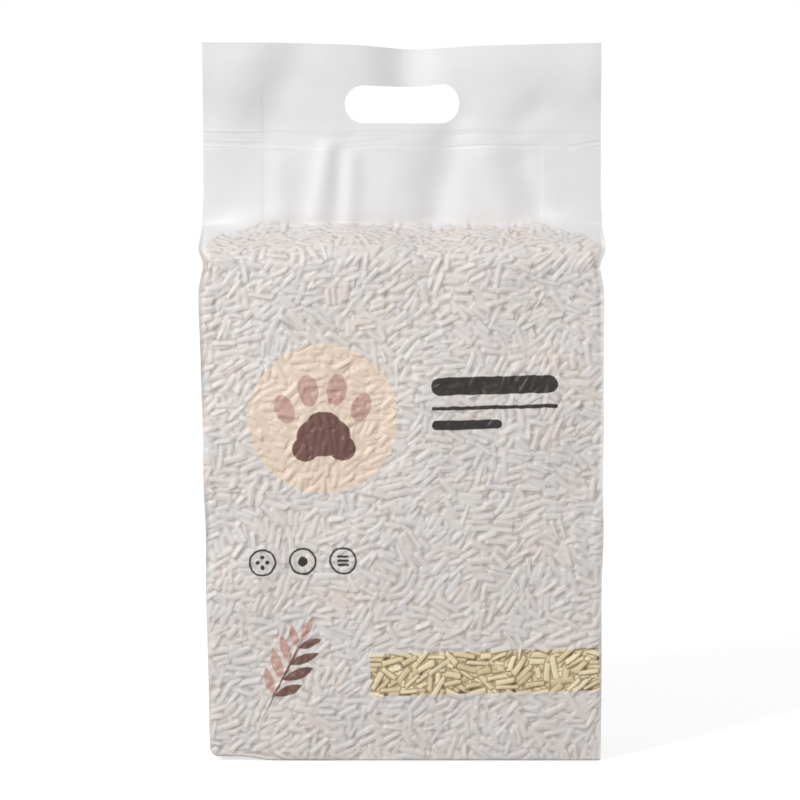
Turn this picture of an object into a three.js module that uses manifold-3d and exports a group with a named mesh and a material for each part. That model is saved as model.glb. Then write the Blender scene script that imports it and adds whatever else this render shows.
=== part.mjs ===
// A vacuum-packed side-gusset bag of cat litter, standing on its base.
// Millimetres, +Z up, the printed front panel faces -Y, and the origin is the middle of the base.
//
// The bag is one film tube: a front panel, a back panel with the tube's lap seam, and two gussets.
// The litter holds the tube open as a block. Above the block the front and back panels lean in and meet,
// the gussets tuck in between them, and the four layers run on as a flat header with a hand slot.

import * as THREE from "three";
import { mergeVertices } from "three/addons/utils/BufferGeometryUtils.js";
import Module from "manifold-3d";

// The film tube as it lies flat
const FILM = 0.15; // one layer of laminate
const BAG_WIDTH = 250; // fold to fold
const GUSSET_DEPTH = 37.5; // how far each side folds in

// The block of litter
const FILL_HEIGHT = 317; // base to the edge where the front panel leans back
const FOOT_NARROWING = 4; // the block is narrower, and so deeper, at its foot than the bag is wide
const SHOULDER_RISE = 15; // from that edge to the ridge where the two panels meet
const PANEL_CROWN = 1.2; // how far the middle of the front and back panels swells
const CORNER_RADIUS = 4; // where each panel starts to turn into its upright corner
const CREASE_REACH = 1; // the tube's lay-flat folds stay as pinched creases up the four corners
const CREASE_WAIST = 1.4; // how far inside the corner the film is drawn beside a crease
const BASE_RADIUS = 5; // round the foot
const SHOULDER_RADIUS = 9; // over the top edge
const RIDGE_RADIUS = 5; // where the leaning panel turns up into the header

// The header
const HEADER_HEIGHT = 113; // ridge to top edge
const HEADER_SLACK = 0.4; // air left between the films on each side of the middle plane
const SEAL_HEIGHT = 12; // the heat-sealed band across the bag
const SEAL_DROP = 54.5; // top edge to the band's upper line
const SEAL_STEP = 1; // the height in which the films close up to the band
const SLOT_LENGTH = 72;
const SLOT_HEIGHT = 24;
const SLOT_DROP = 26; // top edge to the slot

// The seams
const BACK_SEAM_WIDTH = 12; // the lap seam down the back panel
const BACK_SEAM_LAYERS = 2; // layers that the lap adds
const FOOT_SEAL_WIDTH = 10; // the bottom seal, folded flat under the block
const FOLD_LINE = 0.6; // width and depth of the lines that the fold presses into the base
const LAYER_EDGE = 1; // the width over which a layer's edge rises

// How finely curves are divided
const CORNER_STEPS = 3;
const GUSSET_STEPS = 4;
const PANEL_STEPS = 5; // across each half of a panel, between its layer edges
const PROFILE_STEPS = 6;
const BLOCK_LEVELS = 5;
const LEAN_LEVELS = 6;

const HALF_WIDTH = BAG_WIDTH / 2;
const FOOT_HALF_WIDTH = HALF_WIDTH - FOOT_NARROWING / 2;
const QUARTER_GIRTH = HALF_WIDTH + GUSSET_DEPTH; // the tube's girth never changes
const RIDGE_Z = FILL_HEIGHT + SHOULDER_RISE;
const TOP_Z = RIDGE_Z + HEADER_HEIGHT;
const SEAL_TOP_Z = TOP_Z - SEAL_DROP;
const SEAL_FOOT_Z = SEAL_TOP_Z - SEAL_HEIGHT;
const GUSSET_FOLD_X = HALF_WIDTH - GUSSET_DEPTH; // the inner fold, seen as a line in the header
const FLAT_HALF = 2 * FILM; // half the header's thickness where it has four layers
const HEADER_HALF = FLAT_HALF + HEADER_SLACK;

const smooth = (t) => THREE.MathUtils.smoothstep(t, 0, 1);

// The block's half width at a height: it widens from the base to the shoulder.
function halfWidthAt(z) {
  return THREE.MathUtils.lerp(FOOT_HALF_WIDTH, HALF_WIDTH, Math.min(z / FILL_HEIGHT, 1));
}

// Half the depth at each level, as a profile from the rim of the base to the top edge.
function sideProfile() {
  const foot = QUARTER_GIRTH - halfWidthAt(0);
  const shoulder = QUARTER_GIRTH - halfWidthAt(FILL_HEIGHT);
  const lean = new THREE.Vector2(HEADER_HALF - shoulder, SHOULDER_RISE).normalize();
  const profile = new THREE.Path();
  profile.moveTo(foot - BASE_RADIUS, 0);
  profile.quadraticCurveTo(foot, 0, foot, BASE_RADIUS);
  const blockTop = FILL_HEIGHT - SHOULDER_RADIUS;
  for (let i = 1; i <= BLOCK_LEVELS; i++) {
    const z = THREE.MathUtils.lerp(BASE_RADIUS, blockTop, i / BLOCK_LEVELS);
    profile.lineTo(QUARTER_GIRTH - halfWidthAt(z), z);
  }
  const leanFoot = new THREE.Vector2(shoulder, FILL_HEIGHT).addScaledVector(lean, SHOULDER_RADIUS);
  const leanTop = new THREE.Vector2(HEADER_HALF, RIDGE_Z).addScaledVector(lean, -RIDGE_RADIUS);
  profile.quadraticCurveTo(shoulder, FILL_HEIGHT, leanFoot.x, leanFoot.y);
  for (let i = 1; i <= LEAN_LEVELS; i++) {
    const level = leanFoot.clone().lerp(leanTop, i / LEAN_LEVELS);
    profile.lineTo(level.x, level.y);
  }
  profile.quadraticCurveTo(HEADER_HALF, RIDGE_Z, HEADER_HALF, RIDGE_Z + RIDGE_RADIUS);
  profile.lineTo(HEADER_HALF, SEAL_FOOT_Z - SEAL_STEP);
  profile.lineTo(FLAT_HALF, SEAL_FOOT_Z);
  profile.lineTo(FLAT_HALF, SEAL_TOP_Z);
  profile.lineTo(HEADER_HALF, SEAL_TOP_Z + SEAL_STEP);
  profile.lineTo(HEADER_HALF, TOP_Z);
  return profile.getPoints(PROFILE_STEPS);
}

// Stations across a panel from its left edge to its right, with a pair at each edge of a layer.
function panelStations(reach) {
  const fold = Math.min(GUSSET_FOLD_X, reach - CORNER_RADIUS);
  const seam = BACK_SEAM_WIDTH / 2;
  const marks = [seam, seam + LAYER_EDGE];
  for (let i = 1; i < PANEL_STEPS; i++) {
    marks.push(THREE.MathUtils.lerp(seam + LAYER_EDGE, fold - LAYER_EDGE, i / PANEL_STEPS));
  }
  marks.push(fold - LAYER_EDGE, fold, reach);
  return [...marks.map((x) => -x).reverse(), 0, ...marks];
}

// How much thinner the header is at x, where the gussets' two layers don't reach.
function missingLayers(x, isHeader) {
  const inside = smooth((GUSSET_FOLD_X - Math.abs(x)) / LAYER_EDGE);
  return isHeader * inside * FILM;
}

// How far the lap seam stands out of the back panel at x.
function seamRelief(x) {
  const beyond = (Math.abs(x) - BACK_SEAM_WIDTH / 2) / LAYER_EDGE;
  return BACK_SEAM_LAYERS * FILM * (1 - smooth(beyond));
}

// One horizontal section of the bag, counter-clockwise from above, always with as many points.
function section(halfDepth, z) {
  const rim = Math.max(0, 1 - z / BASE_RADIUS);
  const halfWidth = halfWidthAt(z) - BASE_RADIUS * (1 - Math.sqrt(1 - rim * rim));
  const isHeader = smooth((z - FILL_HEIGHT) / SHOULDER_RISE);

  // Each half of a gusset keeps its length, so its middle goes in as the panels close.
  // Where the two halves lie on each other the slit between them is shut.
  const depth = Math.min(halfDepth, GUSSET_DEPTH);
  const tuck = Math.sqrt(GUSSET_DEPTH ** 2 - depth ** 2);
  const open = z > FILL_HEIGHT - SHOULDER_RADIUS ? Math.max(0, 1 - HEADER_HALF / halfDepth) : 0;
  const foldX = halfWidth - tuck * open;

  // The corner is pinched: both films draw in and then run out to a crease.
  // The crease dies out round the foot and where the gusset closes.
  const corner = new THREE.Vector2(halfWidth, -halfDepth);
  const fold = new THREE.Vector2(foldX, 0);
  const alongPanel = new THREE.Vector2(-1, 0);
  const alongGusset = fold.clone().sub(corner);
  const openness = depth / GUSSET_DEPTH;
  const turn = Math.min(CORNER_RADIUS * openness, alongGusset.length() / 2);
  alongGusset.normalize();
  const inward = alongPanel.clone().add(alongGusset).normalize();
  const drawnIn = Math.min(CREASE_WAIST * openness, turn / 2);
  const onPanel = corner.clone().addScaledVector(alongPanel, turn);
  const onGusset = corner.clone().addScaledVector(alongGusset, turn);
  const waist = corner.clone().addScaledVector(inward, drawnIn);
  const tip = waist.clone().addScaledVector(inward, -(drawnIn + CREASE_REACH) * openness * (1 - rim));
  const outwards = new THREE.QuadraticBezierCurve(onPanel, waist, tip).getPoints(CORNER_STEPS);
  const backIn = new THREE.QuadraticBezierCurve(tip, waist, onGusset).getPoints(CORNER_STEPS);
  const rightCorner = [...outwards, ...backIn.slice(1)];

  const gusset = [];
  for (let i = 1; i <= GUSSET_STEPS; i++) {
    gusset.push(onGusset.clone().lerp(fold, i / GUSSET_STEPS));
  }

  const swell = PANEL_CROWN * Math.sin(Math.PI * Math.min(z / FILL_HEIGHT, 1));
  const panel = (side, relief) =>
    panelStations(halfWidth - turn).map((x) => {
      const crown = swell * (1 - (x / halfWidth) ** 2);
      return new THREE.Vector2(x, side * (halfDepth + crown + relief(x) - missingLayers(x, isHeader)));
    });
  const front = panel(-1, () => 0);
  const back = panel(1, seamRelief).reverse();

  // The right side runs from the front corner to the fold and on to the back corner.
  const rightHalf = [...rightCorner.slice(1), ...gusset];
  const mirrored = (points, sx, sy) => points.map((p) => new THREE.Vector2(p.x * sx, p.y * sy));
  const rightBack = mirrored(rightHalf, 1, -1).slice(0, -1).reverse();
  const right = [...rightHalf, ...rightBack].slice(0, -1);
  const left = mirrored(right, -1, -1);
  return [...front, ...right, ...back, ...left];
}

// A closed skin through sections of equal length, capped at both ends.
function loft(sections, heights) {
  const count = sections[0].length;
  const positions = sections.flatMap((points, k) => points.flatMap((p) => [p.x, p.y, heights[k]]));
  const faces = [];
  for (let k = 0; k + 1 < sections.length; k++) {
    for (let i = 0; i < count; i++) {
      const a = k * count + i;
      const b = k * count + ((i + 1) % count);
      faces.push(a, b, b + count, a, b + count, a + count);
    }
  }
  const last = (sections.length - 1) * count;
  for (const [a, b, c] of THREE.ShapeUtils.triangulateShape(sections[0], [])) faces.push(a, c, b);
  for (const [a, b, c] of THREE.ShapeUtils.triangulateShape(sections.at(-1), [])) {
    faces.push(last + a, last + b, last + c);
  }
  const geometry = new THREE.BufferGeometry();
  geometry.setAttribute("position", new THREE.Float32BufferAttribute(positions, 3));
  geometry.setIndex(faces);
  return geometry;
}

function filledBag() {
  const levels = sideProfile();
  const sections = levels.map((level) => section(level.x, level.y));
  const heights = levels.map((level) => level.y);
  return loft(sections, heights);
}

// The die that punches the hand slot, run through the header from front to back.
function slotDie() {
  const radius = SLOT_HEIGHT / 2;
  const straight = SLOT_LENGTH / 2 - radius;
  const outline = new THREE.Shape();
  outline.moveTo(-straight, -radius);
  outline.lineTo(straight, -radius);
  outline.absarc(straight, 0, radius, -Math.PI / 2, Math.PI / 2, false);
  outline.lineTo(-straight, radius);
  outline.absarc(-straight, 0, radius, Math.PI / 2, (3 * Math.PI) / 2, false);
  const reach = 4 * GUSSET_DEPTH;
  const die = new THREE.ExtrudeGeometry(outline, { depth: reach, bevelEnabled: false, curveSegments: 16 });
  die.rotateX(Math.PI / 2);
  die.translate(0, reach / 2, TOP_Z - SLOT_DROP - radius);
  return die;
}

// A V-shaped line pressed into the base, from one point of it to another.
function foldLineDie(from, to) {
  const outline = new THREE.Shape();
  outline.moveTo(-FOLD_LINE / 2, -FOLD_LINE / 2);
  outline.lineTo(FOLD_LINE / 2, -FOLD_LINE / 2);
  outline.lineTo(0, FOLD_LINE);
  const run = to.clone().sub(from);
  const die = new THREE.ExtrudeGeometry(outline, { depth: run.length(), bevelEnabled: false });
  die.rotateX(Math.PI / 2);
  die.rotateZ(run.angle() + Math.PI / 2);
  die.translate(from.x, from.y, 0);
  return die;
}

// The folded foot: the seal lies flat along the middle, and each corner is tucked in on a diagonal.
function footDies() {
  const side = FOOT_HALF_WIDTH;
  const face = QUARTER_GIRTH - side;
  const point = (x, y) => new THREE.Vector2(x, y);
  const seal = [0, FOOT_SEAL_WIDTH].map((y) => foldLineDie(point(-side, y), point(side, y)));
  const tucks = [-1, 1].flatMap((sx) =>
    [-1, 1].map((sy) => foldLineDie(point(sx * (side - face), 0), point(sx * side, sy * face))),
  );
  return [...seal, ...tucks];
}

const wasm = await Module();
wasm.setup();

function toSolid(geometry) {
  const bare = geometry.clone();
  bare.deleteAttribute("normal");
  bare.deleteAttribute("uv");
  const merged = mergeVertices(bare, 1e-4);
  return new wasm.Manifold(
    new wasm.Mesh({
      numProp: 3,
      vertProperties: merged.attributes.position.array,
      triVerts: new Uint32Array(merged.index.array),
    }),
  );
}

function toGeometry(solid) {
  const mesh = solid.getMesh();
  const geometry = new THREE.BufferGeometry();
  geometry.setAttribute("position", new THREE.BufferAttribute(mesh.vertProperties, 3));
  geometry.setIndex(new THREE.BufferAttribute(mesh.triVerts, 1));
  geometry.computeVertexNormals();
  return geometry;
}

const dies = [slotDie(), ...footDies()];
const bagSolid = dies.reduce((solid, die) => solid.subtract(toSolid(die)), toSolid(filledBag()));

const film = new THREE.MeshStandardMaterial({ color: 0xd3cec9, roughness: 0.5, metalness: 0 });
const litterBag = new THREE.Mesh(toGeometry(bagSolid), film);
litterBag.name = "litter_bag";

const bag = new THREE.Group();
bag.add(litterBag);

export default bag;
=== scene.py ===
"""A vacuum-packed bag of pellet cat litter, and the stage it is shown on.

The film is drawn tight over the pellets, runs up into a flat header with a sealed band and
a hand slot, and is folded flat under the foot. Everything is in metres in the part's own
frame: +Z up, the printed front panel faces -Y, and the origin is the middle of the base.
"""

import math

import bmesh
import bpy
import numpy as np
from bpy.props import FloatProperty, FloatVectorProperty, IntProperty, PointerProperty
from bpy.types import Operator, Panel, PropertyGroup
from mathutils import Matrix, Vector


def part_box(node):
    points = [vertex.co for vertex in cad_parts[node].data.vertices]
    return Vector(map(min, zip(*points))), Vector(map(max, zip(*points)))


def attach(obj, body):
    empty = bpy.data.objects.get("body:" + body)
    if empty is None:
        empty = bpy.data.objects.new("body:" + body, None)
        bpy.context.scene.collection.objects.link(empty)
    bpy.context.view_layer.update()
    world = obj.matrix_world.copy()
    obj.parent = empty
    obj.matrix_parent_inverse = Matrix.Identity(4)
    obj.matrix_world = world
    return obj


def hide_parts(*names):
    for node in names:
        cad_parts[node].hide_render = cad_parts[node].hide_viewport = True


bl_info = {
    "name": "Litter Bag",
    "version": (1, 0, 0),
    "blender": (4, 5, 0),
    "location": "View3D > Sidebar > Litter Bag",
    "description": "Builds a vacuum-packed, side-gusset bag of pellet litter and its studio stage",
    "category": "Add Mesh",
}

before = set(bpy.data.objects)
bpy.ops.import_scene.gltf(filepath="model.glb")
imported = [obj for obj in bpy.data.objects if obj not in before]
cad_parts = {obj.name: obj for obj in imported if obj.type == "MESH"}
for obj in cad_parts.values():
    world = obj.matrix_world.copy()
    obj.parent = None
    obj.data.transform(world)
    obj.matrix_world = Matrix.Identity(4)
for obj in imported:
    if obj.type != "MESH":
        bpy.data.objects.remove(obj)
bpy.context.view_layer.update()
BAG_NODE = "litter_bag"
BODY = "root"
MM = 0.001


# Sizes and colours that a user would change


def to_linear(hex_colour):
    """An sRGB hex colour as linear red, green and blue."""
    channels = [int(hex_colour[i : i + 2], 16) / 255 for i in (1, 3, 5)]
    return [c / 12.92 if c <= 0.04045 else ((c + 0.055) / 1.055) ** 2.4 for c in channels]


def number(name, description, default, **kind):
    """A plain number, or one with the unit or subtype that is given."""
    return FloatProperty(name=name, description=description, default=default, **kind)


def length(name, description, millimetres):
    """A length, kept in metres."""
    return number(name, description, millimetres * MM, unit="LENGTH", precision=5)


def angle(name, description, degrees):
    """An angle, kept in radians."""
    return number(name, description, math.radians(degrees), subtype="ANGLE")


def colour(name, description, hex_colour):
    """A colour from an sRGB hex value."""
    default = to_linear(hex_colour)
    return FloatVectorProperty(
        name=name, description=description, default=default, subtype="COLOR", min=0, max=1
    )


class BagSizes(PropertyGroup):
    """The film tube and the block of litter inside it."""

    width: length("Width", "Fold to fold, with the tube lying flat", 250)
    gusset: length("Gusset", "How far each side folds in", 37.5)
    fill_height: length("Fill height", "Base to the edge where the front leans back", 317)
    shoulder_rise: length("Shoulder rise", "That edge to the ridge where front and back meet", 15)
    top: length("Top", "Base to the top edge of the header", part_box(BAG_NODE)[1].z / MM)
    left_slant: length("Left slant", "How far the foot comes in on the left", 6)
    right_slant: length("Right slant", "How far the foot comes in on the right", 1.2)
    right_inset: length("Right inset", "Filled right side, in from the flat tube's fold", 0.7)
    draw_in: length("Draw-in", "How far its waves draw in each edge of the flat film", 0.85)
    foot_swell: length("Foot swell", "How much deeper each face is at the foot than above", 2)
    crown: length("Crown", "How far the middle of the front and back swells", 1.2)
    lumps: length("Lumps", "Height of the slow unevenness of the packed block", 0.9)
    shoulder_reach: length("Shoulder rounding", "Length of film that turns over the top edge", 9)
    ridge_reach: length("Ridge rounding", "Length of film that turns up into the header", 1.4)
    foot_left: length("Left foot rounding", "Rounding of the foot at its left end", 6)
    foot_right: length("Right foot rounding", "Rounding of the foot at its right end", 1.4)
    foot_reach: length("Foot rounding", "Rounding of the foot along front and back", 1.8)
    foot_lift: length("Foot lift", "Front left corner of the foot, up from the floor", 2.6)
    crease: length("Crease", "How far the pinched upright corners stand out", 0.6)
    pinch: length("Pinch", "How far the film beside a crease is drawn in", 0.8)
    notch: length("Notch", "How far the corners draw in under the shoulder", 3)
    seam_width: length("Back seam", "Width of the lap seam down the back", 12)


class HeaderSizes(PropertyGroup):
    """The flat film above the litter."""

    half_gap: length("Half gap", "Half the thickness of the closed header", 0.4)
    layer: length("Layer step", "Step where the inner folds of the gussets end", 0.25)
    seal_height: length("Seal height", "Height of the heat-sealed band", 12)
    seal_drop: length("Seal drop", "Top edge to the upper line of the band", 54.5)
    seal_press: length("Seal press", "How far the band is pressed in", 0.22)
    slot_length: length("Slot length", "Length of the hand slot", 72)
    slot_height: length("Slot height", "Height of the hand slot", 24)
    slot_drop: length("Slot drop", "Top edge to the hand slot", 26)
    dip: length("Dip", "How far the top edge sags over the slot", 3.6)


class PelletSizes(PropertyGroup):
    """The litter that shows through the film."""

    thinnest: length("Thinnest", "Diameter of the thinnest pellets", 2.8)
    thickest: length("Thickest", "Diameter of the thickest pellets", 4.8)
    bundle: length("Bundle", "Size of a patch of pellets that lie side by side", 15)
    lean: angle("Lean", "Usual slope of the pellets", 22)
    spread: angle("Spread", "How much the slope differs from bundle to bundle", 42)
    depth: length("Depth", "Deepest place that the film could sink to between pellets", 1.4)
    sag: length("Sag", "How far a free point of the film is drawn below its neighbours", 0.07)
    grid: length("Grid", "Spacing at which the bed of pellets is worked out", 0.4)
    seed: IntProperty(name="Seed", description="Picks the arrangement of the pellets", default=7)


class FilmColours(PropertyGroup):
    """Colours of film, print and litter, and of the shade painted on film and litter."""

    header: colour("Header film", "Film that lies on film", "#E2E2E4")
    sheer: colour("Sheer", "Faint patches of the film that lies on film", "#DDDBDA")
    filled: colour("Filled film", "Film that lies on the litter", "#DBD6D1")
    blush: colour("Blush", "Warmer patches of the filled film", "#DDD0C9")
    cool: colour("Cool", "Cooler patches of the filled film", "#D6D3D3")
    # Painted shade: darkens the film in the hollows between pellets, along the fill line and in
    # folds.
    hollow: colour("Hollows", "Film between the pellets", "#AEA39B")
    ink: colour("Ink", "Dark print", "#1F1916")
    rose: colour("Rose", "Lighter tone of the motifs", "#C39F93")
    umber: colour("Umber", "Darker tone of the motifs", "#6E4C44")
    cream: colour("Cream", "Field behind the large motif", "#E3CFBD")
    straw: colour("Straw", "Litter seen in the clear strip", "#F3E3C0")
    husk: colour("Husk", "Darker pellets in the clear strip", "#CDB78C")
    # Painted shade on the round flanks and along the edges of the pellets in the clear strip.
    strip_edge_shade: colour("Rind", "Edges of the pellets in the clear strip", "#6E5229")
    # Painted shadow in the gaps between pellets in the clear strip.
    shade: colour("Shade", "Gaps between pellets in the clear strip", "#4A331E")


class PrintSizes(PropertyGroup):
    """Where the print stands on the front panel, from its middle and from the base."""

    badge_x: length("Badge across", "Middle of the large round motif", -43)
    badge_z: length("Badge up", "Middle of the large round motif", 214)
    badge_radius: length("Badge radius", "Radius of the large round motif", 46)
    title_x: length("Title across", "Left end of the title bars", 24)
    title_z: length("Title up", "Middle of the thick title bar", 232)
    title_length: length("Title length", "Length of the longest title bar", 78)
    rings_x: length("Rings across", "Middle of the first ring", -83)
    rings_z: length("Rings up", "Middle of the row of rings", 126)
    ring_spacing: length("Ring spacing", "Ring to ring", 25)
    ring_diameter: length("Ring diameter", "Outer diameter of a ring", 17)
    sprig_x: length("Sprig across", "Foot of the sprig of leaves", -83)
    sprig_z: length("Sprig up", "Foot of the sprig of leaves", 34)
    strip_low: length("Strip low", "Lower edge of the clear strip", 41)
    strip_high: length("Strip high", "Upper edge of the clear strip", 67.2)
    strip_left: length("Strip left", "Left end of the clear strip", -18)
    strip_right: length("Strip right", "Right end of the clear strip", 123.9)
    strip_corner: length("Strip corner", "Corner radius of the clear strip", 0.8)
    edge: length("Print edge", "Softness of a printed edge", 0.3)
    skew: angle("Print skew", "How far the print stands turned on the bag", 1.5)


class StageSizes(PropertyGroup):
    """Camera, light and floor."""

    distance: length("Camera distance", "Camera to the middle of the bag", 1900)
    elevation: angle("Camera elevation", "How far the camera looks down", 4)
    aim: length("Aim height", "Height of the point that the camera looks at", 221.8)
    aside: length("Aside", "How far the camera stands to the left of the bag's middle", 1.3)
    lens: number("Lens", "Focal length in millimetres on a 36 mm sensor", 136)
    key: number("Key", "Light that the key lamp gives a face turned to it", 0.66)
    key_distance: length("Key distance", "Key lamp to the middle of the bag", 2600)
    key_size: length("Key size", "Side of the key lamp's soft box", 600)
    fill: number("Fill", "Light that the fill lamp gives a face turned to it", 0.4)
    sky: number("Sky", "Even light from all around", 0.55)
    floor: colour("Floor", "Backdrop paper", "#AFAFAF")
    floor_reach: length("Floor reach", "How far the floor reaches to every side", 1100)
    floor_white: number("Floor white", "Lift that makes the open floor white", 0.69)


# Curves and fields that the film follows

# Points of the films' grids, about a millimetre apart
FRONT_COLUMNS = 257
FILL_ROWS = 366
FLAT_ROWS = 22
GUSSET_COLUMNS = 49
BACK_COLUMNS = 158
FOOT_COLUMNS = 200
FOOT_ROWS = 70
HEADER_COLUMNS = 251
HEADER_ROWS = 140
# The corners draw in most at this drop below the shoulder, fading over these heights.
NOTCH_DROP = 9 * MM
NOTCH_BELOW = 11 * MM
NOTCH_ABOVE = 6 * MM
# The flat film is drawn in over this height above the ridge.
DRAW_IN_RISE = 20 * MM
# The block's own outline, which wanders by this much, ends over this height at the shoulder.
EDGE_WANDER = 0.5 * MM
FILL_FADE = 12 * MM
# The foot's front left corner lifts over these stretches of x, y and height.
LIFT_X = (-78 * MM, -102 * MM)
LIFT_Y = (-4 * MM, -34 * MM)
LIFT_FADE = 25 * MM


def smoothstep(low, high, value):
    """0 below low, 1 above high and a smooth rise between them."""
    t = np.clip((value - low) / (high - low), 0, 1)
    return t * t * (3 - 2 * t)


def bell(distance, half_width):
    """1 at no distance, falling away smoothly over about twice the half width."""
    return np.exp(-((distance / half_width) ** 2))


def swell(u, v, wavelength, seed, waves=14):
    """A smooth field of random waves, about -1 to 1."""
    rng = np.random.default_rng(seed)
    total = np.zeros(np.broadcast(u, v).shape)
    for _ in range(waves):
        heading = rng.uniform(0, math.tau)
        turns = math.tau / (wavelength * rng.uniform(0.7, 1.6))
        phase = rng.uniform(0, math.tau)
        total += np.cos(turns * (u * math.cos(heading) + v * math.sin(heading)) + phase)
    return total / math.sqrt(waves)


def rounded_path(corners, reaches, steps=16):
    """Points along straight legs, with each inner corner rounded over its own reach."""
    corners = [np.array(c, float) for c in corners]
    t = np.linspace(0, 1, steps)[:, None]
    path = [corners[0]]
    for before, corner, after, reach in zip(corners, corners[1:], corners[2:], reaches):
        start = corner + reach * (before - corner) / np.linalg.norm(before - corner)
        end = corner + reach * (after - corner) / np.linalg.norm(after - corner)
        path.extend((1 - t) ** 2 * start + 2 * (1 - t) * t * corner + t**2 * end)
    path.append(corners[-1])
    return np.array(path)


def seal_foot(bag, header):
    """Height of the lower line of the sealed band."""
    return bag.top - header.seal_drop - header.seal_height


def half_widths(bag, z):
    """How far the left and right corners stand from the middle at each height."""
    low = 1 - np.clip(z / bag.fill_height, 0, 1)
    ridge = bag.fill_height + bag.shoulder_rise
    below_notch = bag.fill_height - NOTCH_DROP - z
    draw = bag.notch * bell(below_notch, np.where(below_notch > 0, NOTCH_BELOW, NOTCH_ABOVE))
    draw = draw + bag.draw_in * smoothstep(ridge, ridge + DRAW_IN_RISE, z)
    filled = 1 - smoothstep(bag.fill_height - FILL_FADE, bag.fill_height, z)
    above_foot = np.clip(z / (30 * MM), 0, 1)
    wander = EDGE_WANDER * swell(z, 0 * z, 60 * MM, seed=31) * above_foot * filled
    sides = []
    for slant, foot, inset, sign in (
        (bag.left_slant, bag.foot_left, 0, 1),
        (bag.right_slant, bag.foot_right, bag.right_inset, -1),
    ):
        rim = np.clip(1 - z / foot, 0, 1)
        rounding = foot * (1 - np.sqrt(1 - rim**2))
        side = bag.width / 2 - slant * low - inset * filled - rounding - draw + sign * wander
        sides.append(side)
    return sides


class Levels:
    """The film's rows from the foot to the seal: where each lies, and how the tube folds there."""

    def __init__(self, bag, header):
        foot = bag.gusset + bag.foot_swell
        ridge = bag.fill_height + bag.shoulder_rise
        path = rounded_path(
            [
                (foot - bag.foot_reach, 0),
                (foot, 0),
                (bag.gusset, bag.fill_height),
                (header.half_gap, ridge),
                (header.half_gap, seal_foot(bag, header)),
            ],
            [bag.foot_reach, bag.shoulder_reach, bag.ridge_reach],
        )
        run = np.concatenate([[0], np.cumsum(np.linalg.norm(np.diff(path, axis=0), axis=1))])
        self.ridge_run = run[np.argmin(np.abs(path[:, 1] - ridge))]
        fill = np.linspace(0, self.ridge_run, FILL_ROWS)
        flat = np.linspace(self.ridge_run, run[-1], FLAT_ROWS)[1:]
        self.run = np.concatenate([fill, flat])
        self.depth = np.interp(self.run, run, path[:, 0])
        self.z = np.interp(self.run, run, path[:, 1])
        along_depth = np.gradient(self.depth, self.run)
        along_z = np.gradient(self.z, self.run)
        size = np.hypot(along_depth, along_z)
        # The outward direction of the front and back film, as depth and height.
        self.out_depth = along_z / size
        self.out_z = -along_depth / size
        self.openness = np.clip(self.depth / bag.gusset, 0, 1)
        self.left, self.right = half_widths(bag, self.z)
        # Each half of a gusset keeps its length, so its fold goes in as the panels close.
        leaning = self.z > bag.fill_height - bag.shoulder_reach
        closing = np.clip(1 - header.half_gap / self.depth, 0, 1) * leaning
        self.tuck = np.sqrt(np.clip(bag.gusset**2 - self.depth**2, 0, None)) * closing

    def row(self, up):
        """The row of each point of a grid, from its share of the way up."""
        return np.rint(up * (len(self.run) - 1)).astype(int)


# Folds of the flat film in millimetres: from x, z to x, z, half width,
# and how far back (+) or forward (-) it goes.
HEADER_FOLDS = (
    # the valley over the slot that lets the top edge sag
    (2, 446, 2, 420, 17, 5.5),
    # the humps at the upper left and right of the slot, and the soft valley beside the left one
    (-88, 446, -109, 392, 20, -2.4),
    (-66, 440, -84, 398, 14, 1.8),
    (70, 441, 54, 398, 24, -1.8),
    # the top edge right of the slot, which leans back, and the right edge, which curls back
    (36, 458, 104, 456, 24, 3.0),
    (131, 446, 132, 414, 9, 1.6),
    # the soft dent at the lower right of the slot
    (84, 404, 76, 398, 9, 1.2),
    # the hollow under the slot, which runs down to the litter
    (33, 396, 20, 333, 12, 3.0),
    (-2, 378, -5, 336, 14, -0.8),
    # upright pleats that the litter pulls into the film
    (54, 372, 66, 333, 10, -1.8),
    (76, 370, 86, 334, 8, 1.2),
    (-76, 370, -76, 334, 8, -1.0),
    (-46, 377, -54, 334, 7, -1.8),
    (-40, 376, -40, 334, 5, 0.8),
    (-31, 372, -33, 334, 6, -1.2),
)


def header_wave(bag, header, x, z):
    """How far the flat film stands behind (+) or before (-) its middle plane."""
    shift = 0.5 * MM * swell(x, z, 95 * MM, seed=53)
    for x0, z0, x1, z1, half_width, depth in HEADER_FOLDS:
        start = np.array([x0, z0]) * MM
        run = np.array([x1, z1]) * MM - start
        t = np.clip(((x - start[0]) * run[0] + (z - start[1]) * run[1]) / (run @ run), 0, 1)
        distance = np.hypot(x - start[0] - t * run[0], z - start[1] - t * run[1])
        shift = shift + depth * MM * bell(distance, half_width * MM)
    # Four layers of film lie between each edge and the inner fold of its gusset, and two
    # between the folds. The step stands out up to the seal, and on the left up to the slot.
    fold = bag.width / 2 - bag.gusset
    fade = np.where(x < 0, bag.top - header.slot_drop, seal_foot(bag, header))
    step = header.layer * (1 - smoothstep(fade - 8 * MM, fade + 8 * MM, z))
    shift = shift - step * smoothstep(fold - 0.9 * MM, fold + 0.9 * MM, np.abs(x))
    # Above the seal both ends curl forward, the left one a little more.
    curl = np.where(x < 0, 0.05, 0.03) * np.abs(x)
    shift = shift - curl * smoothstep(bag.top - header.seal_drop, bag.top - 10 * MM, z)
    ridge = bag.fill_height + bag.shoulder_rise
    return shift * smoothstep(ridge - 6 * MM, ridge + 5 * MM, z)


def foot_rise(bag, x, y, z=0):
    """How far the film stands off the floor towards the foot's front left corner."""
    corner = smoothstep(*LIFT_X, x) * smoothstep(*LIFT_Y, y)
    return bag.foot_lift * corner * (1 - smoothstep(0, LIFT_FADE, z))


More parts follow.
